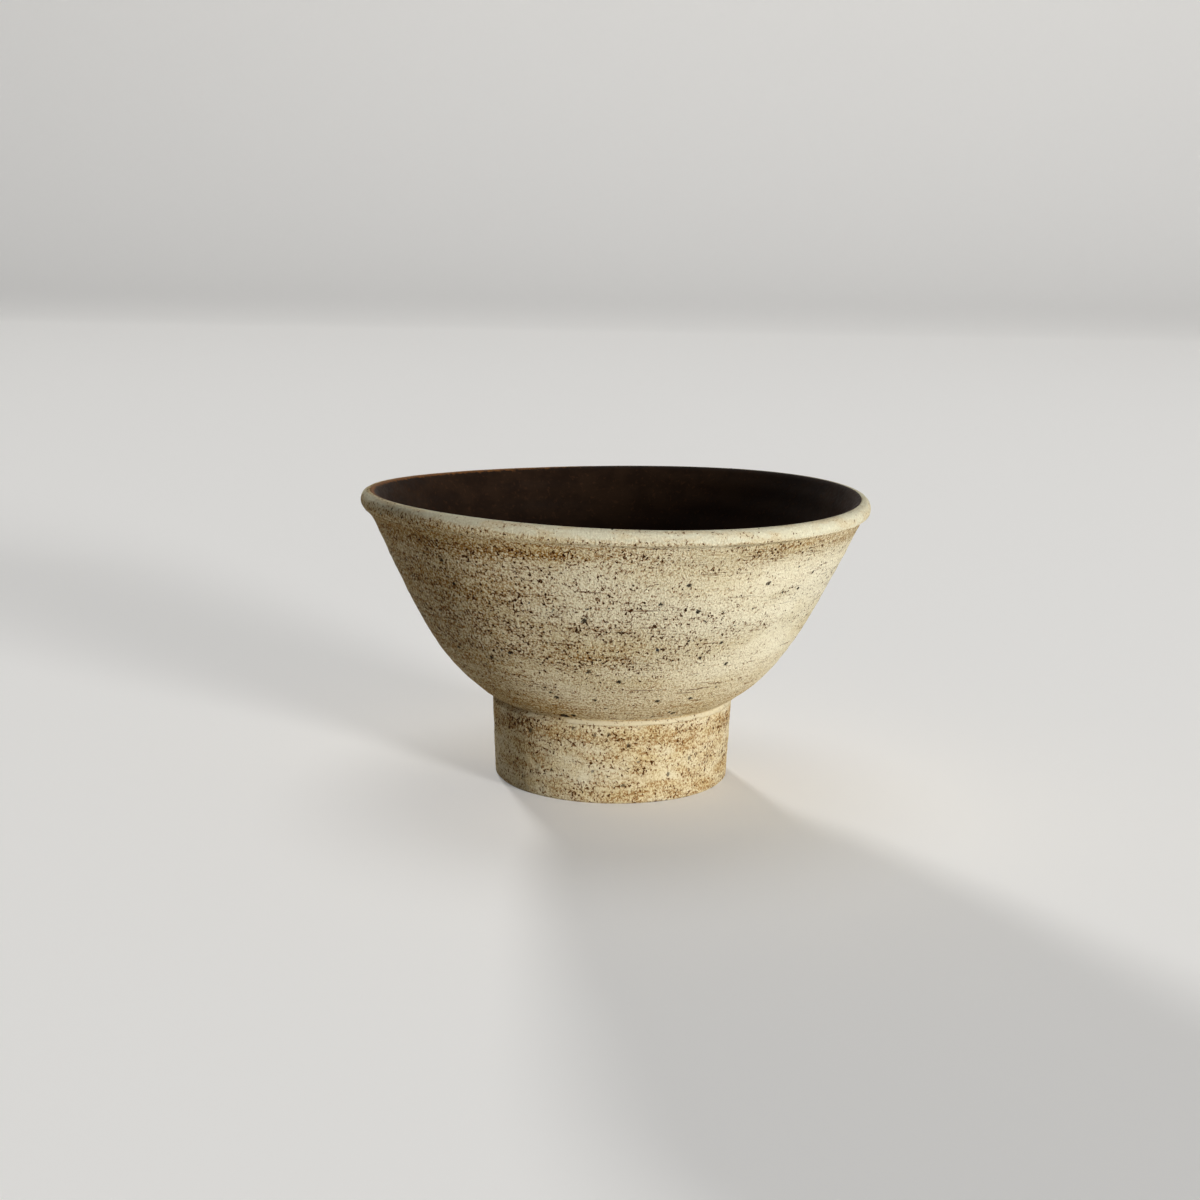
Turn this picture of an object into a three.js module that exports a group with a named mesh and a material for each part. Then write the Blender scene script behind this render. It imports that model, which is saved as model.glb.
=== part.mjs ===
// A hand-thrown stoneware rice bowl: a flaring bowl with a rolled lip, luted with slip onto a tall
// turned foot ring, and lined with a dark glaze. The outside is bare clay.
// Millimetres, +Z up, origin at the centre of the face that the foot stands on.
import * as THREE from "three";

// Foot ring
const footHeight = 20.3;
const footTaper = 0.8; // how much narrower the foot is at the table than at its top
const footTopBevel = 0.85;
const footStandingWidth = 5.0; // from the outside of the foot to its bore, at the table
const footEdgeBevel = 0.5;
const footBoreTaper = 0.8; // how much narrower the bore is at its top than at its mouth

// Slip joint between the foot ring and the bowl
const slipThickness = 0.5;
const slipInset = 0.35; // the joint lies this far back in the groove above the foot's bevel
const slipFillet = 1.4; // slip wiped smooth in the corner inside the foot

// Bowl
const baseRadius = 30.0; // where the wall springs from the underside, flush with the foot's top
const floorThickness = 4.6;
const floorRound = 9.0; // the inside starts to round into the floor this far above it
const wallThicknessAtBase = 4.4;
const wallThicknessAtLip = 3.0;
const wallLeanAtBase = 58; // degrees from upright
const wallLeanAtLip = 25.6; // degrees from upright
const wallHandleAtBase = 17.8; // how far the wall's curve holds each of those leans
const wallHandleAtLip = 23.1;
const rimRadius = 62.5; // widest point of the lip
const rimHeight = 71.3; // crest of the lip above the table
const lipHalfWidth = 1.95;
const lipRise = 2.2; // from the lip's widest level up to its crest
const lipNeckDrop = 2.9; // from the lip's widest level down to the neck under it
const lipNeckStep = 2.3; // how far the neck lies in from the lip's widest point
const lipUndercut = 30; // degrees that the lip's roundness carries on below its widest level

// The rim is not quite flat: it rises and falls twice in a turn, as a warped circle does.
const rimWave = 0.8;
const rimWaveTurn = 31; // degrees from +X to the first high point

// Glaze
const glazeThickness = 0.5;
const glazeEdgeThickness = 0.2;
const glazeEdgeFade = 8; // the glaze reaches its full thickness this far from its edge
const glazeEdgeTurn = 122; // degrees over the lip from its widest point, 90 being the crest
const glazedLipTurn = 30; // degrees of the lip that the glaze covers

// Facets round the bowl, and along each stretch of a section
const turnSteps = 60;
const wallSteps = 13;
const lipSteps = 8;
const glazedLipSteps = 3;
const insideSteps = 10;
const floorSteps = 7;
const filletSteps = 5;

// Places that follow from the sizes above
const footTopRadius = baseRadius;
const footBottomRadius = footTopRadius - footTaper;
const footBoreRadius = footBottomRadius - footStandingWidth;
const footBoreTopRadius = footBoreRadius - footBoreTaper;
const undersideHeight = footHeight + slipThickness;
const floorHeight = undersideHeight + floorThickness;
const lipCentre = new THREE.Vector2(rimRadius - lipHalfWidth, rimHeight - lipRise);
const neck = new THREE.Vector2(rimRadius - lipNeckStep, lipCentre.y - lipNeckDrop);

const radians = THREE.MathUtils.degToRad;
const point = (radius, height) => new THREE.Vector2(radius, height);

// A point that lies `reach` from `start` along a line that leans `degrees` out from upright.
function along(start, degrees, reach) {
  const lean = radians(degrees);
  return point(start.x + reach * Math.sin(lean), start.y + reach * Math.cos(lean));
}

// Part of the lip's oval section, in degrees from its widest point towards its crest.
function lipArc(fromDegrees, toDegrees) {
  const from = radians(fromDegrees);
  const to = radians(toDegrees);
  return new THREE.EllipseCurve(lipCentre.x, lipCentre.y, lipHalfWidth, lipRise, from, to);
}

// The outside of the wall, from the underside up to the neck below the lip.
function outsideWall() {
  const base = point(baseRadius, undersideHeight);
  return new THREE.CubicBezierCurve(
    base,
    along(base, wallLeanAtBase, wallHandleAtBase),
    along(neck, wallLeanAtLip, -wallHandleAtLip),
    neck,
  );
}

// A point inside the wall, a share of the way up it: the outside moved in by the wall's thickness.
function insideWall(share) {
  const wall = outsideWall();
  const up = wall.getTangent(share);
  const thickness = THREE.MathUtils.lerp(wallThicknessAtBase, wallThicknessAtLip, share);
  return wall.getPoint(share).addScaledVector(point(-up.y, up.x), thickness);
}

// The share of the way up the wall at which its inside stands at a height, found by halving.
function shareAtHeight(height) {
  const halvings = 40;
  let below = 0;
  let above = 1;
  for (let i = 0; i < halvings; i += 1) {
    const middle = (below + above) / 2;
    if (insideWall(middle).y < height) below = middle;
    else above = middle;
  }
  return above;
}

// The round of the floor, from where it leaves the wall to the middle of the bowl.
function floorCurve(share) {
  const start = insideWall(share);
  const up = outsideWall().getTangent(share);
  const reach = (start.y - floorHeight) * (up.x / up.y);
  const corner = point(start.x - reach, floorHeight);
  return new THREE.QuadraticBezierCurve(start, corner, point(0, floorHeight));
}

// The clay that the glaze covers, from the glaze's edge on the lip down to the middle of the floor.
function glazedClay() {
  const lip = lipArc(glazeEdgeTurn, glazeEdgeTurn + glazedLipTurn).getPoints(glazedLipSteps);
  const roundStart = shareAtHeight(floorHeight + floorRound);
  const wall = Array.from({ length: insideSteps }, (_, i) =>
    insideWall(THREE.MathUtils.lerp(1, roundStart, i / insideSteps)),
  );
  return [...lip, ...wall, ...floorCurve(roundStart).getPoints(floorSteps)];
}

// The bare clay, from the middle of the underside up the wall and over the lip to the glaze's edge.
function bareClay() {
  const wall = outsideWall().getPoints(wallSteps);
  const lip = lipArc(-lipUndercut, glazeEdgeTurn).getPoints(lipSteps);
  return [point(0, undersideHeight), ...wall, ...lip.slice(0, -1)];
}

// The glaze's free face: the covered clay moved out by a thickness that thins towards the edge.
function glazeFace(clay) {
  let covered = 0;
  return clay.map((spot, i) => {
    const before = clay[Math.max(i - 1, 0)];
    const after = clay[Math.min(i + 1, clay.length - 1)];
    covered += spot.distanceTo(before);
    const full = THREE.MathUtils.smoothstep(covered, 0, glazeEdgeFade);
    const thickness = THREE.MathUtils.lerp(glazeEdgeThickness, glazeThickness, full);
    const down = after.clone().sub(before).normalize();
    const onAxis = spot.x === 0;
    const out = onAxis ? point(0, 1) : point(down.y, -down.x);
    return spot.clone().addScaledVector(out, thickness);
  });
}

// Turns a half-section about the bowl's axis, which points up.
function turned(section) {
  return new THREE.LatheGeometry(section, turnSteps).rotateX(Math.PI / 2);
}

// Lifts and lowers a turned piece with the rim's wave, which dies away towards the base.
function waved(geometry) {
  const places = geometry.attributes.position;
  const phase = radians(rimWaveTurn);
  for (let i = 0; i < places.count; i += 1) {
    const height = places.getZ(i);
    const turn = Math.atan2(places.getY(i), places.getX(i));
    const share = Math.max(height - undersideHeight, 0) / (rimHeight - undersideHeight);
    places.setZ(i, height + rimWave * share ** 2 * Math.cos(2 * (turn - phase)));
  }
  return geometry;
}

// Turns each face of a piece round, for a section that was drawn the other way about.
function facedOut(geometry) {
  const corners = geometry.index.array;
  for (let i = 0; i < corners.length; i += 3) {
    [corners[i + 1], corners[i + 2]] = [corners[i + 2], corners[i + 1]];
  }
  geometry.computeVertexNormals();
  return geometry;
}

function bowlBody() {
  return waved(turned([...bareClay(), ...glazedClay()]));
}

// The glaze is fused to the clay, so it is drawn along the clay the same way and shares its facets.
function innerGlaze() {
  const clay = glazedClay();
  return waved(facedOut(turned([...glazeFace(clay).toReversed(), ...clay])));
}

function footRing() {
  const start = point(footBottomRadius - footEdgeBevel, 0);
  return turned([
    start,
    point(footBottomRadius, footEdgeBevel),
    point(footTopRadius, footHeight - footTopBevel),
    point(footTopRadius - footTopBevel, footHeight),
    point(footBoreTopRadius, footHeight),
    point(footBoreRadius, footEdgeBevel),
    point(footBoreRadius + footEdgeBevel, 0),
    start.clone(),
  ]);
}

// A thin ring between the foot and the bowl, with a hollow fillet inside the foot.
function lutingSlip() {
  const boreSlope = footBoreTaper / (footHeight - footEdgeBevel);
  const outside = footTopRadius - footTopBevel - slipInset;
  const start = point(outside, footHeight);
  const corner = point(footBoreTopRadius, undersideHeight);
  const onBore = point(footBoreTopRadius + slipFillet * boreSlope, footHeight - slipFillet);
  const onBase = point(footBoreTopRadius - slipFillet, undersideHeight);
  const fillet = new THREE.QuadraticBezierCurve(onBase, corner, onBore);
  return turned([
    start,
    point(outside, undersideHeight),
    ...fillet.getPoints(filletSteps),
    point(footBoreTopRadius, footHeight),
    start.clone(),
  ]);
}

const clayFinish = { color: "#d6c8a4", roughness: 0.9, metalness: 0 };
const slipFinish = { color: "#cdbb94", roughness: 0.92, metalness: 0 };
const glazeFinish = { color: "#2a1a12", roughness: 0.3, metalness: 0 };

function piece(name, geometry, finish) {
  const mesh = new THREE.Mesh(geometry, new THREE.MeshStandardMaterial(finish));
  mesh.name = name;
  return mesh;
}

const bowl = new THREE.Group();
bowl.add(
  piece("foot_ring", footRing(), clayFinish),
  piece("luting_slip", lutingSlip(), slipFinish),
  piece("bowl_body", bowlBody(), clayFinish),
  piece("inner_glaze", innerGlaze(), glazeFinish),
);

export default bowl;
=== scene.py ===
import bpy
import numpy as np
from mathutils import Matrix, Vector


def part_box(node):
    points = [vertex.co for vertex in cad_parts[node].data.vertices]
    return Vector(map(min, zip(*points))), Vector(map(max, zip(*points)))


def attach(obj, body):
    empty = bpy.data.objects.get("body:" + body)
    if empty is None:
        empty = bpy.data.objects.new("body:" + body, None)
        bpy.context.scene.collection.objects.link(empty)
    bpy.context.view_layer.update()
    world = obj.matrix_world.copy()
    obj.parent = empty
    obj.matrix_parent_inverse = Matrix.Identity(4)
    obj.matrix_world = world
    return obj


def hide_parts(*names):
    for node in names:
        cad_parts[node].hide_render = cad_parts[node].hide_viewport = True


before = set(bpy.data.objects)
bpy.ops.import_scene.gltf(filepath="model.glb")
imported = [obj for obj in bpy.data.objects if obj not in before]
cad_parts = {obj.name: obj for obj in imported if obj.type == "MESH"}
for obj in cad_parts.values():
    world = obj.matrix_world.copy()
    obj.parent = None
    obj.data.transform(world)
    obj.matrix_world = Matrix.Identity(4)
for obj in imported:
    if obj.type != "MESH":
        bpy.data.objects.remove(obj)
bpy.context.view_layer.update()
print("frame loaded with", len(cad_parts), "solids")

mm = 0.001  # sizes in the dictionaries are millimetres, and Blender works in metres

# Sizes that the solids give
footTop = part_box("foot_ring")[1] / mm
bowlLow, bowlHigh = (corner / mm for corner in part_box("bowl_body"))
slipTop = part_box("luting_slip")[1] / mm


# Photograph's view

cameraView = {
    "lens": 35.0,
    "sensor": 24.0,
    "place": (0.0, -429.9, 125.95),
    "turn": -0.456,  # degrees, to the right of +Y
    "tilt": 10.80,  # degrees down
    "roll": 0.954,  # degrees
}


# The camera's axes: forward from turn and tilt, right level with the floor, then both rolled.
def addCamera(view):
    turn, tilt, roll = np.radians([view["turn"], view["tilt"], view["roll"]])
    forward = np.array([np.sin(turn) * np.cos(tilt), np.cos(turn) * np.cos(tilt), -np.sin(tilt)])
    level = np.array([np.cos(turn), -np.sin(turn), 0.0])
    upright = np.cross(level, forward)
    right = np.cos(roll) * level + np.sin(roll) * upright
    up = np.cos(roll) * upright - np.sin(roll) * level
    lens = bpy.data.cameras.new("camera")
    lens.lens = view["lens"]
    lens.sensor_width = view["sensor"]
    camera = bpy.data.objects.new("camera", lens)
    pose = np.eye(4)
    pose[:3, :3] = np.stack([right, up, -forward], 1)
    pose[:3, 3] = np.array(view["place"]) * mm
    camera.matrix_world = Matrix(pose.tolist())
    bpy.context.scene.collection.objects.link(camera)
    bpy.context.scene.camera = camera


addCamera(cameraView)
print("camera set")


# Noise and masks

# A repeatable scramble of whole numbers into values from -1 to 1.
def scrambled(corner, seed):
    x, y, z = (corner[..., axis].astype(np.uint32) for axis in range(3))
    mixture = x * np.uint32(2378609475) ^ y * np.uint32(3625334849) ^ z * np.uint32(3407524639)
    mixture = mixture + np.uint32(seed * 7919 + 1)
    for shift, factor in ((15, 739982445), (12, 695872825)):
        mixture = (mixture ^ (mixture >> np.uint32(shift))) * np.uint32(factor)
    mixture = mixture ^ (mixture >> np.uint32(15))
    return mixture.astype(np.float64) / 2147483647.5 - 1


# Gradient noise, about -1 to 1: each corner of a grid of cells holds a random slope, and a place blends
# the slopes of its eight corners. Cell is a cell's size along x, y and z.
def cellNoise(places, cell, seed):
    scaled = places / np.array(cell)
    low = np.floor(scaled).astype(np.int64)
    part = scaled - low
    ease = part ** 3 * (part * (part * 6 - 15) + 10)
    total = np.zeros(places.shape[:-1])
    for corner in np.ndindex(2, 2, 2):
        step = np.array(corner)
        slopes = np.stack([scrambled(low + step, seed * 3 + axis) for axis in range(3)], -1)
        weight = np.where(step == 1, ease, 1 - ease).prod(-1)
        total += weight * ((part - step) * slopes).sum(-1)
    return total * 1.7  # brings the noise up to about -1 to 1


# The sum of noise layers, each given as (cell size, height).
def layered(places, layers, seed):
    return sum(
        height * cellNoise(places, cell, seed + i) for i, (cell, height) in enumerate(layers)
    )


# Eases from 0 at low to 1 at high.
def eased(value, low, high):
    share = np.clip((value - low) / (high - low), 0, 1)
    return share * share * (3 - 2 * share)


# From the first of two values to the second, as a share goes from 0 to 1.
def between(ends, share):
    first, second = ends
    return first + (second - first) * share


# A soft hump: 1 in the middle, and exp(-x^2) at x half-widths from it.
def hump(value, middle, half):
    return np.exp(-(((value - middle) / half) ** 2))


# 1 along a stretch of a section, easing to 0 inside its two ends.
def within(length, stretch, fadeIn, fadeOut):
    start, end = stretch
    return eased(length, start, start + fadeIn) * (1 - eased(length, end - fadeOut, end))


# 1 in a sector of the turn, given by its middle and half-width in degrees, easing to 0 over a fade.
def sector(turn, middle, half, fade):
    away = np.abs((np.degrees(turn) - middle + 180) % 360 - 180)
    return 1 - eased(away, half, half + fade)


# Sections and turned surfaces

# A cubic Bezier curve: four control points weighted by (1-t)^3, 3t(1-t)^2, 3t^2(1-t) and t^3.
def bezier(a, b, c, d, steps=200):
    t = np.linspace(0, 1, steps)[:, None]
    return (1 - t) ** 3 * a + 3 * t * (1 - t) ** 2 * b + 3 * t * t * (1 - t) * c + t ** 3 * d


# A curve that leaves a and reaches b along the two sides of a corner: the three points weighted by
# (1-t)^2, 2t(1-t) and t^2.
def rounded(a, corner, b, steps=60):
    t = np.linspace(0, 1, steps)[:, None]
    return (1 - t) ** 2 * np.array(a) + 2 * t * (1 - t) * np.array(corner) + t * t * np.array(b)


# Part of an ellipse, from one angle to another in degrees.
def ellipse(centre, halfWidth, rise, low, high, steps=120):
    angle = np.radians(np.linspace(low, high, steps))
    return np.array(centre) + np.stack([halfWidth * np.cos(angle), rise * np.sin(angle)], 1)


# Length along an outline at each of its points.
def lengthAlong(outline):
    steps = np.linalg.norm(np.diff(outline, axis=0), axis=1)
    return np.concatenate([[0], np.cumsum(steps)])


# The same outline with a number of evenly spaced points.
def even(outline, count):
    outline = np.asarray(outline, float)
    length = lengthAlong(outline)
    at = np.linspace(0, length[-1], count)
    return np.stack([np.interp(at, length, outline[:, axis]) for axis in range(2)], 1)


# Named stretches joined end to end into a section, each given as (outline, number of points), and the
# lengths along the section at which each stretch starts and ends.
def joined(stretches):
    parts = []
    spans = {}
    reach = 0.0
    for name, (outline, count) in stretches.items():
        part = even(outline, count)
        end = reach + lengthAlong(part)[-1]
        spans[name] = (reach, end)
        reach = end
        parts.append(part[1:] if parts else part)
    return np.concatenate(parts), spans


# A section's normal: its direction of travel turned a quarter to the right, away from the clay.
def outwards(section, closed):
    ahead = np.roll(section, -1, 0)
    behind = np.roll(section, 1, 0)
    if not closed:
        ahead[-1] = section[-1]
        behind[0] = section[0]
    travel = ahead - behind
    normal = np.stack([travel[:, 1], -travel[:, 0]], 1)
    return normal / np.linalg.norm(normal, axis=1, keepdims=True)


# How far a softened copy of a section stands out from it along its normals. Each point of the copy is
# the average of the points within about a reach of it.
def softening(section, normals, reach):
    length = lengthAlong(section)
    weight = hump(length[:, None], length, reach) * np.gradient(length)
    soft = weight @ section / weight.sum(1, keepdims=True)
    return ((soft - section) * normals).sum(1)


# The angle of each column, from +X towards +Y.
def turnOf(columns):
    return np.linspace(0, 2 * np.pi, columns, endpoint=False)


# A turned surface: the section (radius, height) carried round Z, each point pushed out along the
# section's normal by the relief and then lifted.
def turned(section, normals, columns, relief=0.0, lift=0.0):
    turn = turnOf(columns)
    radius = section[:, 0, None] + relief * normals[:, 0, None] + 0 * turn
    height = section[:, 1, None] + relief * normals[:, 1, None] + lift + 0 * turn
    return np.stack([radius * np.cos(turn), radius * np.sin(turn), height], -1)


# Rows of values in the order of the mesh's points: a row on the axis is a single point.
def inOrder(grid, closed):
    width = grid.shape[2:]
    if closed:
        return grid.reshape(-1, *width)
    middle = grid[1:-1].reshape(-1, *width)
    return np.concatenate([grid[0, :1], middle, grid[-1, :1]])


# A mesh from a turned grid of places, with masks given by row or by point. Each face has its corners'
# rows and columns, which also give it a map with the turn cut into two strips.
def turnedPiece(name, places, closed, masks):
    rows, columns = places.shape[:2]
    row, column = np.mgrid[0 : rows if closed else rows - 1, 0:columns]
    cornerRow = np.stack([row, row, row + 1, row + 1], -1).reshape(-1, 4)
    cornerColumn = np.stack([column, column + 1, column + 1, column], -1).reshape(-1, 4)
    if closed:
        index = (cornerRow % rows) * columns + cornerColumn % columns
    else:
        index = 1 + (cornerRow - 1) * columns + cornerColumn % columns
        index[cornerRow == 0] = 0
        index[cornerRow == rows - 1] = 1 + (rows - 2) * columns
    kept = np.ones(index.shape, bool)
    if not closed:
        kept[:columns, 1] = False  # faces that meet a pole have three corners
        kept[-columns:, 3] = False
    mesh = bpy.data.meshes.new(name)
    faces = [face[keep].tolist() for face, keep in zip(index, kept)]
    mesh.from_pydata(inOrder(places, closed) * mm, [], faces)
    mesh.shade_smooth()
    for mask, values in masks.items():
        grid = values + np.zeros((rows, columns))
        layer = mesh.attributes.new(mask, "FLOAT", "POINT")
        layer.data.foreach_set("value", inOrder(grid, closed).astype(np.float32))
    strips = 2
    margin = 0.004  # share of a strip that is left free above and below
    meridian = np.concatenate([places[:, 0], places[:1, 0]]) if closed else places[:, 0]
    length = lengthAlong(meridian)
    strip = cornerColumn[:, :1] * strips // columns
    across = cornerColumn * strips / columns - strip
    upwards = (length / length[-1])[cornerRow]
    mapped = np.stack([across, (strip + margin + (1 - 2 * margin) * upwards) / strips], -1)
    bakeMap = mesh.uv_layers.new(name="OFBake")
    bakeMap.uv.foreach_set("vector", mapped[kept].astype(np.float32).ravel())
    piece = bpy.data.objects.new(name, mesh)
    bpy.context.scene.collection.objects.link(piece)
    print(name, "made with", sum(len(face) - 2 for face in faces), "triangles")
    return piece


# How many degrees to the right of a middle each column lies, from -180 to 180. The middle is given in
# degrees to the right of the front.
def degreesFrom(columns, middle):
    return (np.degrees(turnOf(columns)) + 270 - middle) % 360 - 180


# Pits and short grooves that grit leaves under the turning tool: each starts in a pit and thins out along
# the turn. They are scattered along a stretch of the section, apart from the seen ones, which have places
# of their own.
def gritMarks(section, columns, grit, stretch):
    random = np.random.default_rng(grit["seed"])
    length = lengthAlong(section)
    limits = ((-180, 180), stretch, grit["size"], grit["tail"], grit["depth"])
    marks = [[random.uniform(*limit) for limit in limits] for _ in range(grit["count"])]
    start, end = (int(np.argmin(np.abs(length - at))) for at in stretch)
    for right, height, size in grit["seen"]:
        level = np.interp(height, section[start:end, 1], length[start:end])
        marks.append([right, level, size, size, grit["depth"][1]])
    grooveWidth = 0.6  # share of the pit's size
    grooveDepth = 0.4  # share of the pit's depth
    depth = np.zeros((len(section), columns))
    for right, level, size, tail, deep in marks:
        along = np.radians(degreesFrom(columns, right)) * section[:, :1]
        above = (length - level)[:, None]
        pit = np.exp(-(((along / size) ** 2 + (above / size) ** 2) ** 1.5))
        groove = hump(above, 0, grooveWidth * size) * (along > 0) * (1 - eased(along, 0, tail))
        depth = np.maximum(depth, deep * np.maximum(pit, grooveDepth * groove))
    return depth


# Shader nodes

# A node with its settings and its inputs, which are values or other nodes' outputs.
def addNode(tree, kind, inputs=None, **settings):
    made = tree.nodes.new("ShaderNode" + kind)
    for name, value in settings.items():
        setattr(made, name, value)
    for name, value in (inputs or {}).items():
        if isinstance(value, bpy.types.NodeSocket):
            tree.links.new(value, made.inputs[name])
        else:
            made.inputs[name].default_value = value
    return made


def calc(tree, operation, a, b=0.0, c=0.0, clamp=False):
    inputs = {0: a, 1: b, 2: c}
    return addNode(tree, "Math", inputs, operation=operation, use_clamp=clamp).outputs[0]


# Eases from one value to another as a value goes from low to high.
def ramp(tree, value, low, high, to=(0.0, 1.0)):
    inputs = {"Value": value, "From Min": low, "From Max": high, "To Min": to[0], "To Max": to[1]}
    return addNode(tree, "MapRange", inputs, interpolation_type="SMOOTHSTEP").outputs[0]


# Adds a share of how far a noise lies from its middle.
def swayed(tree, value, noise, share):
    centred = calc(tree, "SUBTRACT", noise, 0.5)
    return calc(tree, "MULTIPLY_ADD", centred, share, value)


# A colour that goes from a to b as a share goes from 0 to 1.
def mixed(tree, share, a, b):
    node = addNode(tree, "Mix", data_type="RGBA")
    for name, value in (("Factor", share), ("A", a), ("B", b)):
        socket = next(s for s in node.inputs if s.name == name and s.enabled)
        if isinstance(value, bpy.types.NodeSocket):
            tree.links.new(value, socket)
        else:
            socket.default_value = value
    return next(s for s in node.outputs if s.enabled)


# Noise with so many features to the millimetre along x, y and z.
def speckle(tree, spot, often, detail, roughness=0.5, distortion=0.0, shift=0.0):
    placed = addNode(tree, "Mapping", {"Vector": spot, "Scale": often, "Location": (shift,) * 3})
    inputs = {
        "Vector": placed.outputs[0],
        "Scale": 1.0,
        "Detail": detail,
        "Roughness": roughness,
        "Distortion": distortion,
    }
    return addNode(tree, "TexNoise", inputs).outputs[0]


# Object coordinates in millimetres.
def inMillimetres(tree):
    place = addNode(tree, "TexCoord").outputs["Object"]
    inputs = {0: place, "Scale": 1 / mm}
    return addNode(tree, "VectorMath", inputs, operation="SCALE").outputs[0]


# Scattered ragged specks: a cell of a Voronoi pattern holds one if its random number is above the least,
# and the larger the number, the larger the speck. Also gives a second random number for each cell.
def scattered(tree, spot, often, least, largest):
    raggedness = 0.9  # most that a place is moved, in millimetres
    sway = addNode(tree, "TexNoise", {"Vector": spot, "Scale": 1.1, "Detail": 2.0}).outputs["Color"]
    inputs = {0: sway, 1: (raggedness,) * 3, 2: spot}
    ragged = addNode(tree, "VectorMath", inputs, operation="MULTIPLY_ADD").outputs[0]
    cells = addNode(tree, "TexVoronoi", {"Vector": ragged, "Scale": often})
    chance = addNode(tree, "SeparateColor", {0: cells.outputs["Color"]}).outputs
    inputs = {"Value": chance[0], "From Min": least, "From Max": 1.0, "To Max": largest * often}
    size = addNode(tree, "MapRange", inputs).outputs[0]
    inside = calc(tree, "SUBTRACT", size, cells.outputs["Distance"])
    return ramp(tree, inside, 0.0, 0.1 * often), chance[1]


# A colour written as it looks on a screen, 0 to 255.
def colour(red, green, blue):
    level = np.array([red, green, blue]) / 255
    linear = np.where(level > 0.04045, ((level + 0.055) / 1.055) ** 2.4, level / 12.92)
    return (*linear.tolist(), 1.0)


# Clay

clayMasks = ("Along", "Wash", "Flecks", "Clean", "Pit")  # each comes from a mesh's mask of that name

clayTones = {
    "pale": colour(218, 207, 174),
    "tan": colour(206, 182, 121),
    "smudge": colour(196, 170, 124),
    "lightGrain": colour(243, 237, 209),
    "rust": colour(145, 94, 42),
    "fleckCore": colour(34, 18, 7),
    "blackGrit": colour(28, 18, 11),
    "greyGrit": colour(58, 58, 62),
    # painted shade in the middles of the grit's pits
    "paintedPitShade": colour(26, 16, 9),
}
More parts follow.
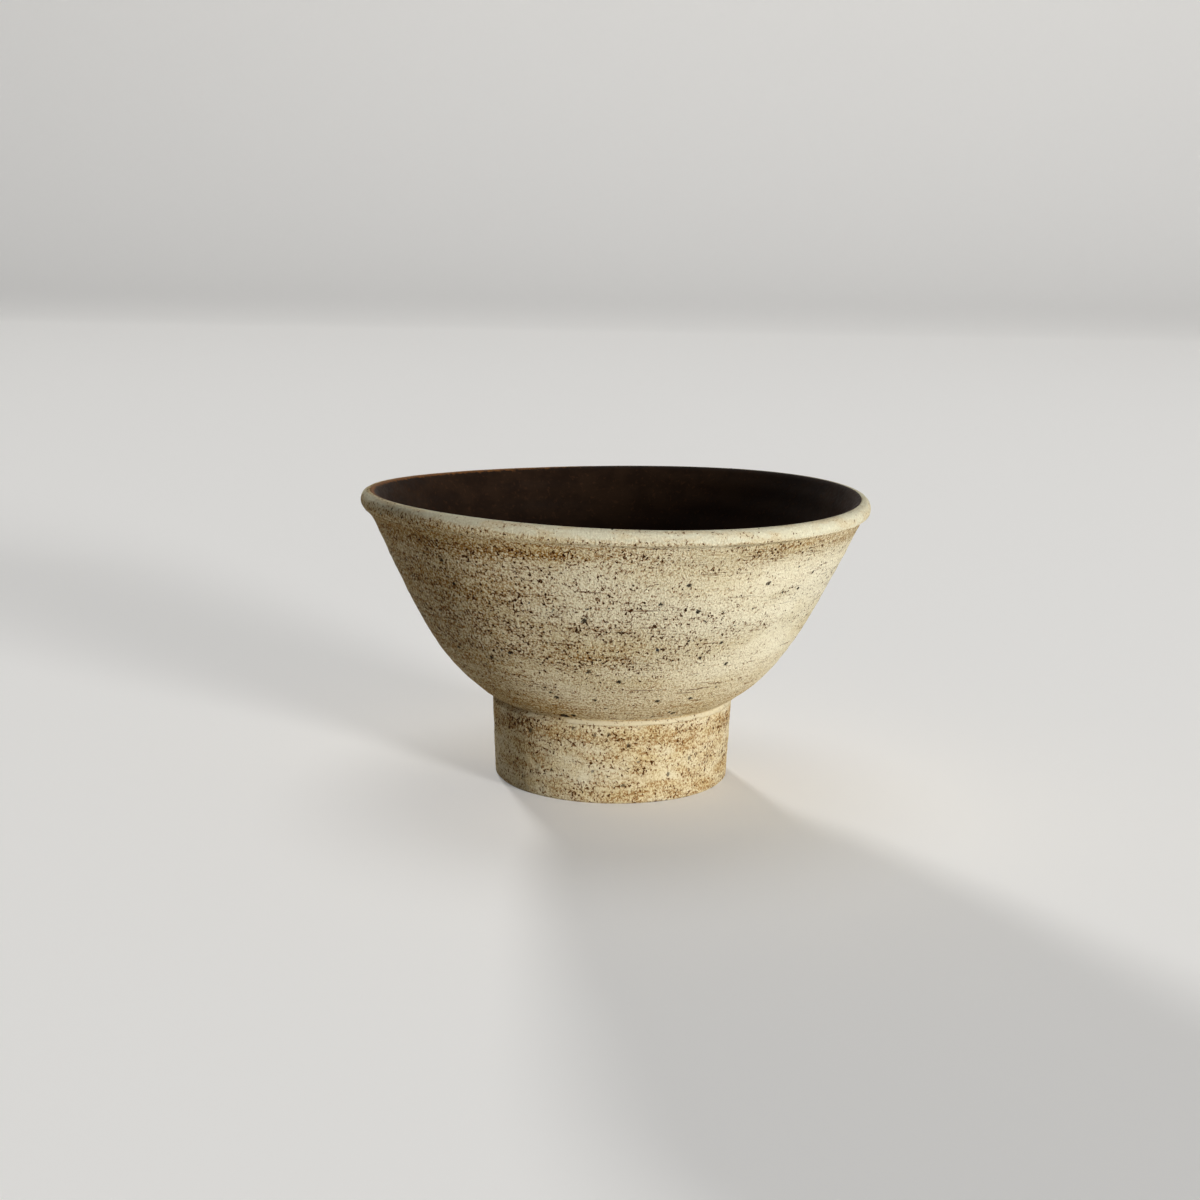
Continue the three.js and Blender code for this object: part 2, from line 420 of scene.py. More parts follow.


# Speckled clay: cream stoneware whose iron wash stays in the hollows between its grains, with dark
# flecks, thin drag lines, a few black grits and painted shade in the pits that grit left. Clean is
# where the wash was wiped off. Along is the length along the section in millimetres, so that rings and
# lines follow the turned surface.
def speckledClayGroup():
    tree = bpy.data.node_groups.new("speckledClay", "ShaderNodeTree")
    face = tree.interface
    for name in (*clayMasks, "Grain", "Lines", "Grits", "Smudges", "Dark"):
        face.new_socket(name, in_out="INPUT", socket_type="NodeSocketFloat")
    for name in ("Cream", "Wiped", "Ochre", "Umber"):
        face.new_socket(name, in_out="INPUT", socket_type="NodeSocketColor")
    face.new_socket("Color", in_out="OUTPUT", socket_type="NodeSocketColor")
    face.new_socket("Roughness", in_out="OUTPUT", socket_type="NodeSocketFloat")
    face.new_socket("Height", in_out="OUTPUT", socket_type="NodeSocketFloat")
    given = tree.nodes.new("NodeGroupInput").outputs
    spot = inMillimetres(tree)
    level = addNode(tree, "SeparateXYZ", {0: spot}).outputs
    ringed = addNode(tree, "CombineXYZ", {"X": level[0], "Y": level[1], "Z": given["Along"]}).outputs[0]

    patches = speckle(tree, spot, (0.05, 0.05, 0.1), 3)
    rings = speckle(tree, ringed, (0.03, 0.03, 0.8), 4, 0.65, shift=7)
    streaks = speckle(tree, ringed, (0.22, 0.22, 0.8), 3, 0.6, shift=11)
    clusters = speckle(tree, ringed, (0.16, 0.16, 0.4), 3, shift=13)
    grain = speckle(tree, spot, (2.1, 2.1, 1.9), 4, 0.65, 0.3, shift=19)
    marks = speckle(tree, spot, (1.6, 1.6, 1.5), 3, 0.6, 0.5, shift=29)
    lines = speckle(tree, ringed, (0.07, 0.07, 2.6), 2, shift=31)

    bare = calc(tree, "SUBTRACT", 1.0, given["Clean"], clamp=True)
    streaked = swayed(tree, rings, streaks, 0.8)
    washed = calc(tree, "MULTIPLY", given["Wash"], ramp(tree, streaked, 0.34, 0.66, (0.6, 1.2)))
    washed = calc(tree, "MULTIPLY", washed, bare, clamp=True)

    # A tan stain all over, and more of it in the hollows of the grain, which is coarser where flecks are
    # dense
    coarse = calc(tree, "MULTIPLY_ADD", given["Flecks"], 0.55, 0.55)
    coarse = calc(tree, "MULTIPLY", coarse, given["Grain"])
    body = mixed(tree, ramp(tree, patches, 0.42, 0.66), given["Cream"], clayTones["pale"])
    body = mixed(tree, calc(tree, "MULTIPLY", given["Wash"], 0.55), body, clayTones["tan"])
    smudge = calc(tree, "MULTIPLY", ramp(tree, clusters, 0.46, 0.62), given["Smudges"])
    wiped = mixed(tree, smudge, given["Wiped"], clayTones["smudge"])
    body = mixed(tree, given["Clean"], body, wiped)
    body = mixed(tree, calc(tree, "MULTIPLY", washed, 0.16), body, given["Ochre"])
    depth = calc(tree, "SUBTRACT", calc(tree, "MULTIPLY_ADD", washed, 0.07, 0.435), grain)
    stain = calc(tree, "MULTIPLY_ADD", calc(tree, "MULTIPLY", bare, coarse), 0.26, 0.06)
    stain = calc(tree, "MULTIPLY_ADD", washed, 0.72, stain)
    hollow = calc(tree, "MULTIPLY", ramp(tree, depth, -0.035, 0.035), stain)
    body = mixed(tree, hollow, body, given["Ochre"])
    light = calc(tree, "MULTIPLY", ramp(tree, grain, 0.54, 0.64, (0.0, 0.5)), coarse, clamp=True)
    body = mixed(tree, light, body, clayTones["lightGrain"])

    # Flecks: rusty round them, brown at their edges and nearly black inside
    least = calc(tree, "MULTIPLY_ADD", given["Flecks"], -0.11, 0.67)
    least = calc(tree, "MULTIPLY_ADD", given["Clean"], 0.07, least)
    least = swayed(tree, least, clusters, -0.19)
    least = swayed(tree, least, lines, -0.12)
    over = calc(tree, "SUBTRACT", marks, least)
    rusty = calc(tree, "MULTIPLY_ADD", washed, 0.35, 0.65)
    rust = calc(tree, "MULTIPLY", ramp(tree, over, -0.075, -0.01), rusty)
    fleck = ramp(tree, over, -0.018, 0.006)
    core = ramp(tree, over, 0.008, 0.034)
    body = mixed(tree, rust, body, clayTones["rust"])
    body = mixed(tree, calc(tree, "MULTIPLY", fleck, 0.9), body, given["Umber"])
    body = mixed(tree, calc(tree, "MULTIPLY", core, given["Dark"]), body, clayTones["fleckCore"])

    # Drag lines
    line = calc(tree, "MULTIPLY", ramp(tree, lines, 0.64, 0.69), ramp(tree, clusters, 0.48, 0.58))
    line = calc(tree, "MULTIPLY", line, calc(tree, "MULTIPLY", given["Lines"], bare))
    body = mixed(tree, line, body, given["Umber"])

    # Grits, and pits whose deepest middles are darkened with painted shade
    grit, kind = scattered(tree, spot, 0.28, 0.6, 0.55)
    grit = calc(tree, "MULTIPLY", grit, given["Grits"])
    greyness = ramp(tree, kind, 0.8, 0.85)
    gritTone = mixed(tree, greyness, clayTones["blackGrit"], clayTones["greyGrit"])
    body = mixed(tree, grit, body, gritTone)
    paintedPitShade = ramp(tree, swayed(tree, given["Pit"], grain, 2.2), 0.46, 0.6)
    body = mixed(tree, calc(tree, "MULTIPLY", paintedPitShade, given["Dark"]), body, clayTones["paintedPitShade"])

    # Bump: the grain and the lines, with the flecks sunk in, and flatter where the clay was wiped
    height = calc(tree, "MULTIPLY", grain, coarse)
    height = calc(tree, "MULTIPLY_ADD", lines, 0.12, height)
    height = calc(tree, "MULTIPLY_ADD", fleck, -0.08, height)
    height = calc(tree, "MULTIPLY", height, calc(tree, "MULTIPLY_ADD", given["Clean"], -0.5, 1.0))

    result = tree.nodes.new("NodeGroupOutput").inputs
    tree.links.new(body, result["Color"])
    tree.links.new(ramp(tree, grain, 0.35, 0.65, (0.95, 0.82)), result["Roughness"])
    tree.links.new(height, result["Height"])
    return tree


speckledClay = speckledClayGroup()


# A clay finish: the speckled clay with this piece's own values, and its grain as a bump.
def clayFinish(name, look):
    material = bpy.data.materials.new(name)
    material.use_nodes = True
    tree = material.node_tree
    shader = tree.nodes["Principled BSDF"]
    shader.inputs["Specular IOR Level"].default_value = 0.05
    clay = addNode(tree, "Group", node_tree=speckledClay)
    for mask in clayMasks:
        source = addNode(tree, "Attribute", attribute_name=mask.lower())
        tree.links.new(source.outputs["Fac"], clay.inputs[mask])
    for socket, value in look.items():
        clay.inputs[socket].default_value = value
    bump = addNode(tree, "Bump", {"Height": clay.outputs["Height"], "Distance": mm})
    tree.links.new(clay.outputs["Color"], shader.inputs["Base Color"])
    tree.links.new(clay.outputs["Roughness"], shader.inputs["Roughness"])
    tree.links.new(bump.outputs[0], shader.inputs["Normal"])
    return material


# Fits a finished piece to the frame.
def fitPiece(piece, material, node):
    piece.data.materials.append(material)
    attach(piece, "root")
    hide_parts(node)


# Bowl

bowl = {
    "columns": 600,
    "floorThickness": 4.6,
    "floorRound": 9.0,  # height above the floor at which the wall starts to round into it
    "wallThickness": (4.4, 3.0),  # at the base and at the lip
    "wallLean": (58.0, 25.6),  # degrees from upright, at the base and at the lip
    "wallHandle": (17.8, 24.6),  # how far the curve keeps to its lean, at the base and at the lip
    "baseRound": 0.6,
    "lipHalfWidth": 1.95,
    "lipRise": 2.2,
    "lipNeckDrop": 1.55,  # from the lip's widest point down to its neck
    "lipNeckStep": 1.63,  # from the lip's widest point in to its neck
    "lipUndercut": 30.0,  # degrees of the lip under its widest point
    "neckFill": 0.6,  # most that the neck is filled, on the left
    "neckFillReach": 1.8,
    "neckSoft": 1.5,  # reach over which the neck is softened, on the left
    "neckSoftStretch": (0.7, 2.2),  # middle, from the neck up, and half-length of what is softened
    "neckCrease": 0.1,  # most that the neck is cut in, on the right
    "neckCreaseReach": 0.7,
    "rimWave": 0.8,
    "rimWaveTurn": 31.0,  # degrees from +X to where the rim is highest
    "glazeEdgeTurn": 100.0,  # degrees over the lip from its widest point
    "glazedLipTurn": 52.0,  # degrees of the lip that the glaze covers
    "wipedFrom": (0.1, 2.4),  # along the lip from its neck, on the right and on the left
    "wipedFade": (0.25, 0.75),  # half-length over which the wiping starts, on the right and on the left
    "wipedWander": 0.4,
    "wiped": (0.82, 0.18),  # how clean the lip was wiped, and how much that changes
    "stainedCrest": 0.9,  # along the lip, beside the glaze
    "stainedCrestWander": 0.6,  # share of that
    "stainedCrestFade": 0.3,
    "stainedCrestWash": 0.9,
    "stainedSide": (155.0, 30.0, 50.0),  # middle, half-width and fade of the stained crest, in degrees
    "wallRelief": [
        ((40, 40, 7.5), 0.12),  # throwing rings
        ((26, 26, 2.2), 0.07),  # turning lines
        ((3.4, 3.4, 2.8), 0.06),  # grain
        ((1.7, 1.7, 1.6), 0.07),
    ],
    "lipRelief": [((9, 9, 9), 0.10), ((2.5, 2.5, 2.5), 0.03)],
    "turnedSpiral": (2.4, 0.07),  # pitch and height of the tool's spiral under the bowl
    "grit": {
        "seed": 11,
        "count": 90,
        "size": (0.4, 0.65),
        "tail": (1.0, 6.0),
        "depth": (0.06, 0.2),
        "seen": [  # degrees to the right of the front, height and size
            (-43, 60.0, 0.75), (17, 58.2, 0.65), (38, 57.2, 0.7), (11, 53.6, 0.65), (20.5, 51.6, 0.65),
            (-7, 49.0, 0.8), (-30, 39.0, 0.7), (25, 39.2, 0.65), (-38, 36.8, 0.7), (35, 36.6, 0.65),
            (-7, 35.8, 0.7), (2, 33.2, 0.75), (-19.5, 27.6, 0.75), (-6, 27.6, 0.6), (16, 27.2, 0.7),
            (28.5, 27.3, 0.65), (26, 22.8, 0.7), (-21, 21.5, 1.3), (-16.5, 21.9, 0.75),
        ],
    },
    "wash": {
        "all": 0.28,
        "bands": [
            (66.4, 2.8, 0.32),
            (46.0, 4.5, 0.04),
            (38.5, 3.0, 0.06),
            (30.0, 6.0, 0.22),
            # The band just above the foot holds wash and also painted shade under the wall, where it
            # overhangs the groove over the foot's bevel
            (23.0, 4.0, 0.5),
        ],
        "patches": [
            # The patches on the left, at -60, -42, -38 and -35 degrees, hold wash and also painted warm
            # shade on the left side, away from the light
            (-60, 30, 48.0, 24.0, 0.6),
            (-38, 24, 57.0, 5.0, 0.25),
            (-42, 26, 65.0, 3.6, 0.65),
            (-13, 10, 65.0, 1.6, 0.5),
            (38, 10, 65.0, 2.6, 0.1),
            (62, 14, 64.5, 2.2, 0.25),
            (18, 12, 66.0, 3.0, -0.3),
            (-2, 26, 46.5, 3.6, 0.12),
            (-6, 14, 39.5, 3.5, 0.2),
            (13, 6, 33.0, 1.4, 0.35),
            (-35, 18, 24.0, 3.0, 0.35),
            (-20, 8, 22.5, 1.5, 0.5),
            (58, 26, 48.0, 16.0, -0.35),
        ],
        "noise": [((60, 60, 9), 0.11), ((20, 20, 4), 0.13)],
    },
    "flecks": {
        "all": 0.44,
        "bands": [
            (64.2, 1.2, 0.15),
            (53.5, 3.0, 0.15),
            (46.0, 4.0, 0.22),
            (39.5, 3.0, 0.2),
            (26.0, 6.0, -0.25),
        ],
        "patches": [
            (-28, 24, 64.6, 1.8, 0.4),
            (36, 9, 65.3, 2.0, 0.1),
            (-60, 30, 48.0, 24.0, 0.2),
            (-38, 24, 57.0, 5.0, 0.15),
            (-4, 14, 46.5, 3.0, 0.25),
            (-8, 14, 40.0, 3.0, 0.2),
            (56, 28, 44.0, 20.0, -0.5),
            (40, 25, 31.0, 8.0, -0.6),
            (32, 20, 57.0, 6.0, -0.35),
        ],
        "noise": [((30, 30, 5), 0.15)],
    },
    "look": {
        "Cream": colour(232, 224, 196),
        "Wiped": colour(208, 203, 177),
        "Ochre": colour(148, 109, 53),
        "Umber": colour(84, 46, 14),
        "Grain": 1.05,
        "Lines": 0.8,
        "Grits": 0.95,
        "Smudges": 0.45,
        "Dark": 0.93,
    },
}

rimHeight = bowlHigh.z - bowl["rimWave"]
rimRadius = bowlHigh.x
baseRadius = footTop.x
undersideHeight = bowlLow.z
floorHeight = undersideHeight + bowl["floorThickness"]
lipCentre = (rimRadius - bowl["lipHalfWidth"], rimHeight - bowl["lipRise"])
neck = np.array([rimRadius - bowl["lipNeckStep"], lipCentre[1] - bowl["lipNeckDrop"]])


# A direction that leans out from upright by some degrees.
def leaning(degrees):
    return np.array([np.sin(np.radians(degrees)), np.cos(np.radians(degrees))])


# The outside of the wall: one Bezier curve from the base to the neck under the lip.
def outsideWall():
    base = np.array([baseRadius, undersideHeight])
    low, high = (
        handle * leaning(lean) for handle, lean in zip(bowl["wallHandle"], bowl["wallLean"])
    )
    return bezier(base, base + low, neck - high, neck)


# Part of the lip's oval, in degrees from its widest point towards its crest.
def lipArc(low, high):
    return ellipse(lipCentre, bowl["lipHalfWidth"], bowl["lipRise"], low, high)


# The clay inside: the lip, the wall moved in by its thickness, and a round down to the floor's middle.
def insideClay():
    wall = outsideWall()
    share = np.linspace(0, 1, len(wall))
    thickness = np.interp(share, [0, 1], bowl["wallThickness"])[:, None]
    inner = (wall - thickness * outwards(wall, False))[::-1]
    inner = inner[inner[:, 1] > floorHeight + bowl["floorRound"]]
    start = inner[-1]
    travel = inner[-1] - inner[-2]
    corner = start + travel * (floorHeight - start[1]) / travel[1]
    floor = rounded(start, corner, (0.0, floorHeight))
    edge = bowl["glazeEdgeTurn"]
    return np.concatenate([lipArc(edge, edge + bowl["glazedLipTurn"]), inner, floor[1:]])


# The rim rises and falls twice in a turn, less and less towards the base.
def rimWave(height, columns):
    share = np.clip(height - undersideHeight, 0, None) / (rimHeight - undersideHeight)
    wave = np.cos(2 * (turnOf(columns) - np.radians(bowl["rimWaveTurn"])))
    return bowl["rimWave"] * share[:, None] ** 2 * wave


mostSpread = 1.5  # limit of what a place holds


# How much a place holds of what is spread over a piece: soft bands round it, given by height, half-height
# and strength, soft patches, given by degrees to the right of the front, half-width, height, half-height
# and strength, and noise.
def spreadOver(spread, height, places, seed):
    total = spread["all"] + layered(places, spread["noise"], seed)
    for level, half, strong in spread["bands"]:
        total = total + strong * hump(height, level, half)[:, None]
    for middle, across, level, half, strong in spread["patches"]:
        sideways = hump(degreesFrom(places.shape[1], middle), 0, across)
        total = total + strong * sideways * hump(height, level, half)[:, None]
    return np.clip(total, 0, mostSpread)


# A spiral ridge: a wave along the section that moves on by one pitch in a turn.
def spiral(length, columns, shape):
    pitch, height = shape
    return height * np.cos(2 * np.pi * length[:, None] / pitch - turnOf(columns))


def makeBowl():
    columns = bowl["columns"]
    turn = turnOf(columns)
    wall = outsideWall()
    wall = wall[lengthAlong(wall) > bowl["baseRound"]]
    inner = (baseRadius - bowl["baseRound"], undersideHeight)
    lip = lipArc(-bowl["lipUndercut"], bowl["glazeEdgeTurn"])
    section, spans = joined({
        "underside": ([(0, undersideHeight), inner], 14),
        "corner": (rounded(inner, (baseRadius, undersideHeight), wall[0]), 4),
        "wall": (wall, 106),
        "neck": ([wall[-1], lip[0]], 6),
        "lip": (lip, 16),
        "inside": (insideClay(), 26),
    })
    normals = outwards(section, False)
    lift = rimWave(section[:, 1], columns)
    places = turned(section, normals, columns, 0.0, lift)
    length = lengthAlong(section)
    neckAt = spans["neck"][0]

    onWall = within(length, (spans["wall"][0], spans["neck"][1]), 2.0, 1.5)[:, None]
    onLip = within(length, spans["lip"], 1.0, 2.0)[:, None]
    onBase = within(length, spans["underside"], 2.0, 6.0)[:, None]
    leftness = 0.5 - 0.5 * np.cos(turn)  # 0 on the right and 1 on the left
    pits = gritMarks(section, columns, bowl["grit"], (spans["wall"][0], spans["wall"][1] - 1))
    relief = onWall * (layered(places, bowl["wallRelief"], 3) - pits)
    relief = relief + onLip * layered(places, bowl["lipRelief"], 20)
    relief = relief + onBase * spiral(length, columns, bowl["turnedSpiral"])

    # The lip's neck is filled and softened on the left and crisp on the right
    filled = hump(length, neckAt, bowl["neckFillReach"])[:, None] * leftness ** 1.3
    creased = hump(length, neckAt, bowl["neckCreaseReach"])[:, None] * (1 - leftness) ** 2
    middle, half = bowl["neckSoftStretch"]
    softened = hump(length, neckAt + middle, half) * softening(section, normals, bowl["neckSoft"])
    relief = relief + bowl["neckFill"] * filled - bowl["neckCrease"] * creased
    relief = relief + softened[:, None] * leftness

    # The lip was wiped from its neck, or on the left from its widest point, up to the glaze, which stains
    # the clay beside it
    low = spans["lip"][0] + between(bowl["wipedFrom"], leftness ** 1.5)
    low = low + bowl["wipedWander"] * cellNoise(places, (6, 6, 6), 41)
    fade = between(bowl["wipedFade"], leftness ** 2)
    clean, change = bowl["wiped"]
    wiped = eased(length[:, None], low - fade, low + fade)
    wiped = wiped * (clean + change * cellNoise(places, (4, 4, 4), 43))
    wander = 1 + bowl["stainedCrestWander"] * cellNoise(places, (14, 14, 14), 42)
    high = spans["lip"][1] - bowl["stainedCrest"] * wander
    fade = bowl["stainedCrestFade"]
    crest = eased(length[:, None], high - fade, high + fade) * sector(turn, *bowl["stainedSide"])
    wash = spreadOver(bowl["wash"], section[:, 1], places, 51)
    masks = {
        "along": length[:, None],
        "wash": np.maximum(wash, bowl["stainedCrestWash"] * crest),
        "flecks": spreadOver(bowl["flecks"], section[:, 1], places, 55),
        "clean": wiped * (1 - crest),
        # how deep the grit's pits are, which the clay also uses to paint shade in their middles
        "pit": np.clip(pits / bowl["grit"]["depth"][1], 0, 1),
    }
    piece = turnedPiece("bowl_body_clay", turned(section, normals, columns, relief, lift), False, masks)
    fitPiece(piece, clayFinish("bowlClay", bowl["look"]), "bowl_body")


makeBowl()


# Foot ring

foot = {
    "columns": 420,
    "taper": 0.8,
    "topBevel": 0.95,
    "standingWidth": 5.0,
    "edgeBevel": 0.5,
    "boreTaper": 0.8,
    "relief": [
        ((30, 30, 5), 0.07),
        ((18, 18, 1.8), 0.05),  # turning lines
        ((3.0, 3.0, 3.0), 0.06),  # grain
        ((1.6, 1.6, 1.8), 0.08),
    ],
    "boreRelief": 0.7,  # share of the relief that the bore has
    "grit": {
        "seed": 12,
        "count": 45,
        "size": (0.4, 0.65),
        "tail": (0.8, 4.0),
        "depth": (0.06, 0.2),
        "seen": [(28, 6.6, 0.6), (-41, 16.0, 0.7), (8, 14.5, 0.65), (6, 4.6, 0.6), (-18, 18.9, 0.55)],
    },
    "wash": {
        "all": 0.54,
        "bands": [(16.8, 1.8, 0.4), (3.0, 1.5, 0.15)],
        "patches": [
            (-16, 9, 8.5, 4.5, -0.1),
            (-48, 14, 8.0, 6.0, 0.35),
            (12, 12, 9.0, 2.0, 0.15),
            (40, 8, 13.0, 3.0, 0.3),
        ],
        "noise": [((16, 16, 5), 0.2), ((5, 5, 2.5), 0.5)],
    },
    "flecks": {
        "all": 0.42,
        "bands": [(16.5, 2.0, 0.35), (2.5, 1.2, 0.15)],
        "patches": [(-16, 9, 8.5, 4.5, -0.1)],
        "noise": [((10, 10, 4), 0.35)],
    },
    "cleanBevel": (302.0, 51.0, 5.0),  # middle, half-width and fade of the wiped bevel, in degrees
    "wipedBevel": 1.3,  # along the bevel, from its top
    "wipedBevelWander": 0.3,  # share of that
    "wipedBevelFade": 0.15,
    "look": {
        "Cream": colour(218, 208, 178),
        "Wiped": colour(220, 208, 175),
        "Ochre": colour(146, 110, 64),
        "Umber": colour(102, 67, 36),
        "Grain": 0.5,
        "Lines": 0.3,
        "Grits": 0.6,
        "Smudges": 0.0,
        "Dark": 0.72,
    },
}

footBottomRadius = baseRadius - foot["taper"]
boreRadius = footBottomRadius - foot["standingWidth"]
boreTopRadius = boreRadius - foot["boreTaper"]


def makeFoot():
    columns = foot["columns"]
    bevel, edge = foot["topBevel"], foot["edgeBevel"]
    high = footTop.z
    start = (boreTopRadius, high)
    boreEnd = (boreRadius, edge)
    inner, outer = (boreRadius + edge, 0), (footBottomRadius - edge, 0)
    low, shoulder = (footBottomRadius, edge), (baseRadius, high - bevel)
    ledge = (baseRadius - bevel, high)
    section, spans = joined({
        "bore": ([start, boreEnd], 22),
        "mouth": ([boreEnd, inner], 4),
        "standing": ([inner, outer], 8),
        "heel": ([outer, low], 4),
        "side": ([low, shoulder], 42),
        "bevel": ([shoulder, ledge], 6),
        "top": ([ledge, start], 5),
    })
    section = section[:-1]
    normals = outwards(section, True)
    places = turned(section, normals, columns)
    length = lengthAlong(section)

    onSide = within(length, spans["side"], 1.0, 0.6)[:, None]
    inBore = within(length, spans["bore"], 2.0, 1.0)[:, None]
    pits = gritMarks(section, columns, foot["grit"], (spans["side"][0] + 1, spans["side"][1] - 0.3))
    relief = (onSide + foot["boreRelief"] * inBore) * (layered(places, foot["relief"], 60) - pits)

    # The wiped stretch of the bevel starts in a point and widens
    wiped = sector(turnOf(columns), *foot["cleanBevel"])
    wander = 1 + foot["wipedBevelWander"] * cellNoise(places, (3, 3, 3), 79)
    bevelStart, bevelEnd = spans["bevel"]
    wipedStart = bevelEnd - wiped * foot["wipedBevel"] * wander
    fade = foot["wipedBevelFade"]
    onBevel = within(length, (bevelStart, bevelEnd + 0.4), 0.1, 0.3)[:, None]
    onBevel = onBevel * eased(length[:, None], wipedStart - fade, wipedStart + fade)
    masks = {
        "along": length[:, None],
        "wash": spreadOver(foot["wash"], section[:, 1], places, 71),
        "flecks": spreadOver(foot["flecks"], section[:, 1], places, 75),
        "clean": onBevel * wiped,
        # how deep the grit's pits are, which the clay also uses to paint shade in their middles
        "pit": np.clip(pits / foot["grit"]["depth"][1], 0, 1),
    }
    piece = turnedPiece("foot_ring_clay", turned(section, normals, columns, relief), True, masks)
    fitPiece(piece, clayFinish("footClay", foot["look"]), "foot_ring")


makeFoot()


# Luting slip

slip = {
    "columns": 360,
    "squeezed": 0.3,  # how far it stands out of the joint
    "fillet": 1.4,
    "relief": [((3, 3, 3), 0.10), ((1.2, 1.2, 1.2), 0.04)],
    "masks": {"wash": 0.7, "flecks": 0.3, "clean": 0.2, "pit": 0.0},
    "look": {
        "Cream": colour(205, 187, 148),
        "Wiped": colour(212, 196, 160),
        "Ochre": colour(146, 108, 66),
        "Umber": colour(92, 60, 32),
        "Grain": 0.6,
        "Lines": 0.0,
        "Grits": 0.3,
        "Smudges": 0.0,
        "Dark": 0.6,
    },
}


def makeSlip():
    columns = slip["columns"]
    high, low = slipTop.z, footTop.z
    outside, fillet = slipTop.x, slip["fillet"]
    onBase = (boreTopRadius - fillet, high)
    onBore = (boreTopRadius, low - fillet)
    outsideHigh, outsideLow, corner = (outside, high), (outside, low), (boreTopRadius, low)
    section, spans = joined({
        "top": ([outsideHigh, onBase], 6),
        "fillet": (rounded(onBase, (boreTopRadius, high), onBore), 14),
        "onBore": ([onBore, corner], 4),
        "under": ([corner, outsideLow], 6),
        "outside": ([outsideLow, outsideHigh], 6),
    })
    section = section[:-1]
    normals = outwards(section, True)
    places = turned(section, normals, columns)
    length = lengthAlong(section)
    onFillet = within(length, spans["fillet"], 1.0, 1.0)[:, None]
    onOutside = within(length, spans["outside"], 0.25, 0.25)[:, None]
    relief = (onFillet + onOutside) * layered(places, slip["relief"], 80)
    relief = relief + slip["squeezed"] * onOutside
    masks = {"along": length[:, None], **slip["masks"]}
    piece = turnedPiece("luting_slip_ring", turned(section, normals, columns, relief), True, masks)
    fitPiece(piece, clayFinish("slipClay", slip["look"]), "luting_slip")


makeSlip()


# Glaze

glaze = {
    "columns": 480,
    "rows": 130,
    "rowsUnder": 40,
    "thickness": 0.5,
    "edgeThickness": 0.04,
    "edgeFade": 6.0,
    "throwingSpiral": (6.5, 0.10),  # pitch and height of the ridge that throwing left inside
    "relief": [((50, 50, 6), 0.06), ((6, 6, 5), 0.03), ((1.8, 1.8, 1.8), 0.012)],
    "rustyEdge": (0.5, 2.0),  # width of the line at the edge where clay shows through, least and most
    "rustiness": (0.25, 1.0),  # strength of that line, least and most
    "tones": {
        "dark": colour(27, 17, 10),
        "brown": colour(36, 24, 15),
        "flecked": colour(58, 38, 24),
        "rusty": colour(114, 74, 38),
        "speck": colour(136, 122, 106),
    },
}


# Dark satin glaze: thin and rusty at its edge, mottled, with a few pale specks.
def glazeFinish():
    material = bpy.data.materials.new("darkGlaze")
    material.use_nodes = True
    tree = material.node_tree
    shader = tree.nodes["Principled BSDF"]
    shader.inputs["Specular IOR Level"].default_value = 0.025
    spot = inMillimetres(tree)
    thin = addNode(tree, "Attribute", attribute_name="thin").outputs["Fac"]
    mottle = speckle(tree, spot, (0.12, 0.12, 0.2), 4, 0.6)
    fine = speckle(tree, spot, (0.9, 0.9, 0.9), 3, 0.6, shift=5)
    tones = glaze["tones"]
    body = mixed(tree, ramp(tree, mottle, 0.38, 0.62), tones["dark"], tones["brown"])
    body = mixed(tree, ramp(tree, fine, 0.56, 0.68, (0.0, 0.4)), body, tones["flecked"])
    body = mixed(tree, ramp(tree, swayed(tree, thin, fine, 1.2), 0.3, 0.9), body, tones["rusty"])
    speck, _ = scattered(tree, spot, 0.11, 0.75, 0.5)
    body = mixed(tree, calc(tree, "MULTIPLY", speck, 0.6), body, tones["speck"])
    tree.links.new(body, shader.inputs["Base Color"])
    tree.links.new(ramp(tree, fine, 0.35, 0.65, (0.46, 0.58)), shader.inputs["Roughness"])
    bump = addNode(tree, "Bump", {"Height": calc(tree, "MULTIPLY", fine, 0.06), "Distance": mm})
    tree.links.new(bump.outputs[0], shader.inputs["Normal"])
    return material


def makeGlaze():
    columns = glaze["columns"]
    clay = even(insideClay(), glaze["rows"])
    covered = lengthAlong(clay)
    rise = eased(covered, 0, glaze["edgeFade"]) ** 0.5
    thickness = between((glaze["edgeThickness"], glaze["thickness"]), rise)
    free = clay + thickness[:, None] * outwards(clay, False)
    free[-1, 0] = 0  # ends on the axis
    under = even(clay, glaze["rowsUnder"])[::-1]
    section = np.concatenate([under, free])
    normals = outwards(section, False)
    lift = rimWave(section[:, 1], columns)
    places = turned(section, normals, columns, 0.0, lift)
    hidden = np.zeros(len(under))
    onFree = np.concatenate([hidden, within(covered, (0.3, covered[-1]), 5.0, 4.0)])[:, None]
    fromMiddle = np.concatenate([hidden, covered[-1] - covered])
    rings = spiral(fromMiddle, columns, glaze["throwingSpiral"])
    relief = onFree * (layered(places, glaze["relief"], 90) + rings)
    stained = sector(turnOf(columns), *bowl["stainedSide"])
    reach = np.concatenate([hidden, covered])[:, None] / between(glaze["rustyEdge"], stained)
    thin = (1 - eased(reach, 0.0, 1.0)) * between(glaze["rustiness"], stained)
    surface = turned(section, normals, columns, relief, lift)
    piece = turnedPiece("inner_glaze_coat", surface, False, {"thin": thin})
    fitPiece(piece, glazeFinish(), "inner_glaze")


makeGlaze()
print("pieces finished")


# Stage, in metres

stage = {
    "width": 8.0,
    "front": -3.0,
    "back": 3.0,
    "sweep": 0.8,
    "height": 2.0,
    "paper": colour(226, 224, 220),
    "paleness": 0.2,  # added to the paper where the camera sees it
}


# 1 where the camera sees a surface, directly, in a reflection or through glass, and 0 where the surface
# only gives light.
def asSeen(tree):
    ray = addNode(tree, "LightPath").outputs
    seen = calc(tree, "ADD", ray["Is Camera Ray"], ray["Is Glossy Ray"])
    return calc(tree, "ADD", seen, ray["Is Transmission Ray"], clamp=True)


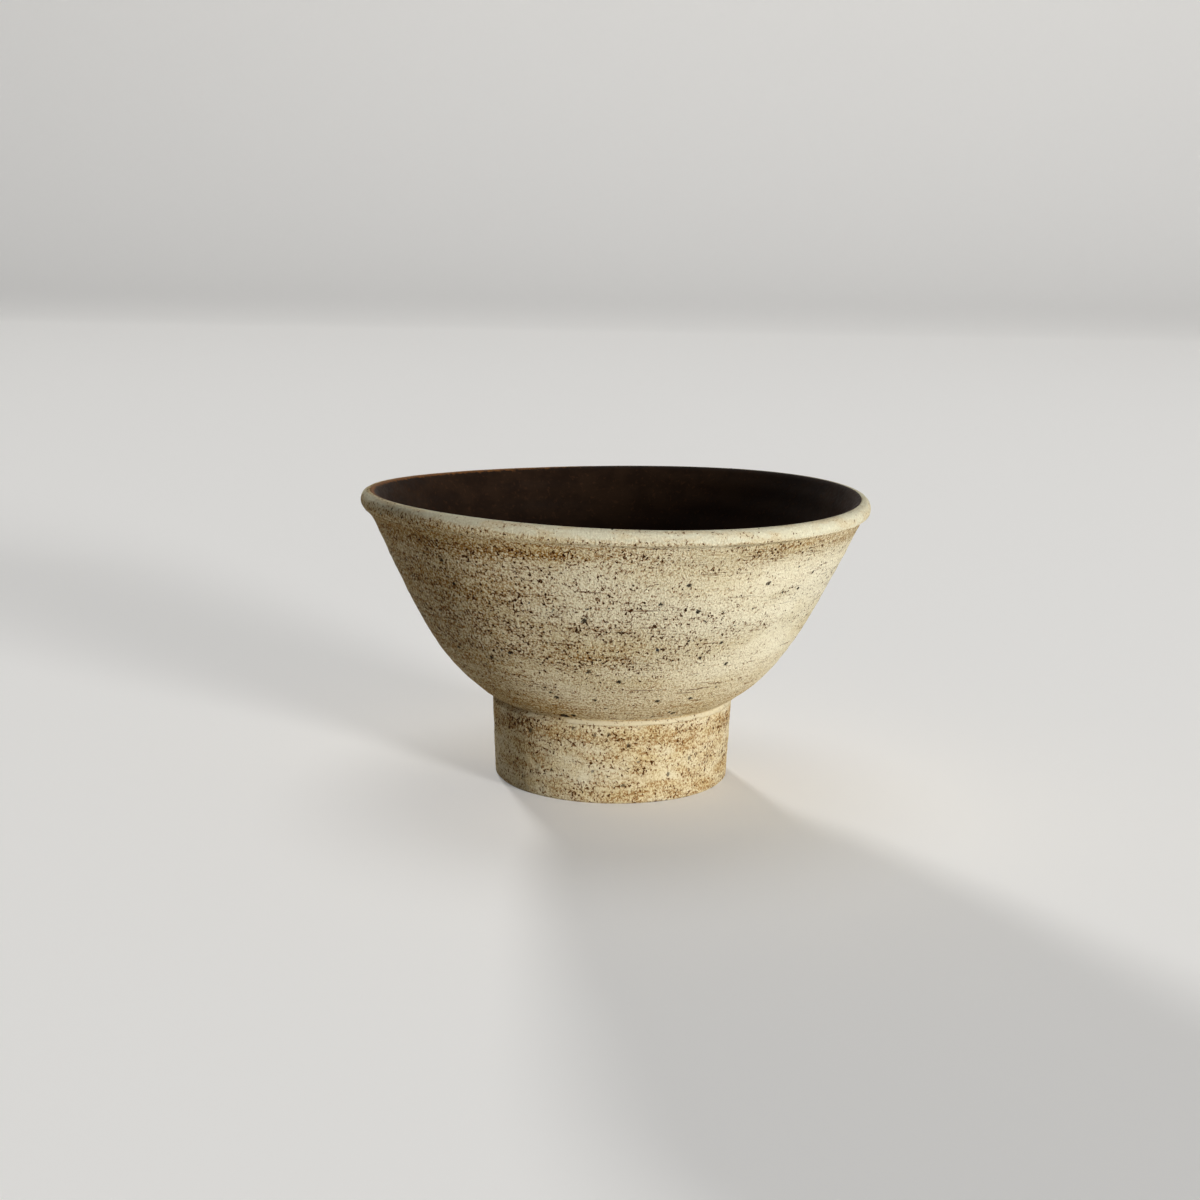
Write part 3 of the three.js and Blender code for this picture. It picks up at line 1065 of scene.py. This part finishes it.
# Floor and backdrop in one: a section of floor, quarter round and wall carried along X.
def addStage():
    turn = np.linspace(0, np.pi / 2, 40)
    bend = np.stack([np.sin(turn), 1 - np.cos(turn)], 1) * stage["sweep"] + [stage["back"], 0.0]
    outline = np.concatenate([[(stage["front"], 0.0)], bend, [(bend[-1, 0], stage["height"])]])
    left, right = (
        np.insert(outline, 0, side * stage["width"] / 2, axis=1) for side in (-1, 1)
    )
    count = len(outline)
    first = np.arange(count - 1)
    faces = np.stack([first, first + count, first + count + 1, first + 1], 1)
    mesh = bpy.data.meshes.new("studioSweep")
    mesh.from_pydata(np.concatenate([left, right]), [], faces.tolist())
    mesh.shade_smooth()
    sweep = bpy.data.objects.new("studioSweep", mesh)
    bpy.context.scene.collection.objects.link(sweep)
    paper = bpy.data.materials.new("palePaper")
    paper.use_nodes = True
    tree = paper.node_tree
    shader = tree.nodes["Principled BSDF"]
    shader.inputs["Base Color"].default_value = stage["paper"]
    shader.inputs["Roughness"].default_value = 0.9
    shader.inputs["Specular IOR Level"].default_value = 0.1
    shader.inputs["Emission Color"].default_value = (1.0, 1.0, 1.0, 1.0)
    paleness = calc(tree, "MULTIPLY", asSeen(tree), stage["paleness"])
    tree.links.new(paleness, shader.inputs["Emission Strength"])
    mesh.materials.append(paper)
    sweep.visible_shadow = False  # the light from behind passes it


# Light

# Where each lamp stands, in degrees to the right of the camera's side and up. Level is the brightness
# that it gives to a white surface that faces it. A round lamp has its distance and size in metres. A far
# one lights everything from one side, so that it leaves no bright pool on the floor, and has its width in
# degrees.
lamps = {
    "keyLight": {"turn": 43, "rise": 7, "away": 4.0, "size": 0.95, "level": 1.22, "reflected": True},
    "backLight": {"turn": 198, "rise": 20, "width": 8.0, "level": 0.65, "reflected": False},
    "topLight": {"turn": 180, "rise": 72, "away": 4.0, "size": 2.5, "level": 0.2, "reflected": True},
}
worldLevel = {"light": 0.08, "seen": 0.75}  # seen by the camera, in reflections and through glass
aimHeight = 0.04


# A soft lamp that faces the bowl. A far one has a power of level x pi, and a round one of that x pi x
# distance^2.
def addLamp(name, lamp):
    turn, rise = np.radians([lamp["turn"], lamp["rise"]])
    aim = Vector((0.0, 0.0, aimHeight))
    away = Vector((np.sin(turn) * np.cos(rise), -np.cos(turn) * np.cos(rise), np.sin(rise)))
    distance = lamp.get("away", 1.0)
    if "width" in lamp:
        light = bpy.data.lights.new(name, "SUN")
        light.angle = np.radians(lamp["width"])
        light.energy = lamp["level"] * np.pi
    else:
        light = bpy.data.lights.new(name, "AREA")
        light.shape = "DISK"
        light.size = lamp["size"]
        light.energy = lamp["level"] * (np.pi * distance) ** 2
    made = bpy.data.objects.new(name, light)
    made.location = aim + away * distance
    made.rotation_euler = (-away).to_track_quat("-Z", "Y").to_euler()
    made.visible_camera = False
    made.visible_glossy = lamp["reflected"]
    bpy.context.scene.collection.objects.link(made)


def addWorld():
    world = bpy.data.worlds.new("studio")
    bpy.context.scene.world = world
    world.use_nodes = True
    tree = world.node_tree
    background = tree.nodes["Background"].inputs
    background["Color"].default_value = (1.0, 1.0, 1.0, 1.0)
    added = calc(tree, "MULTIPLY", asSeen(tree), worldLevel["seen"] - worldLevel["light"])
    tree.links.new(calc(tree, "ADD", added, worldLevel["light"]), background["Strength"])


addStage()
for lampName, lampSetting in lamps.items():
    addLamp(lampName, lampSetting)
addWorld()
bpy.context.scene.view_settings.view_transform = "Standard"
print("stage and light set")
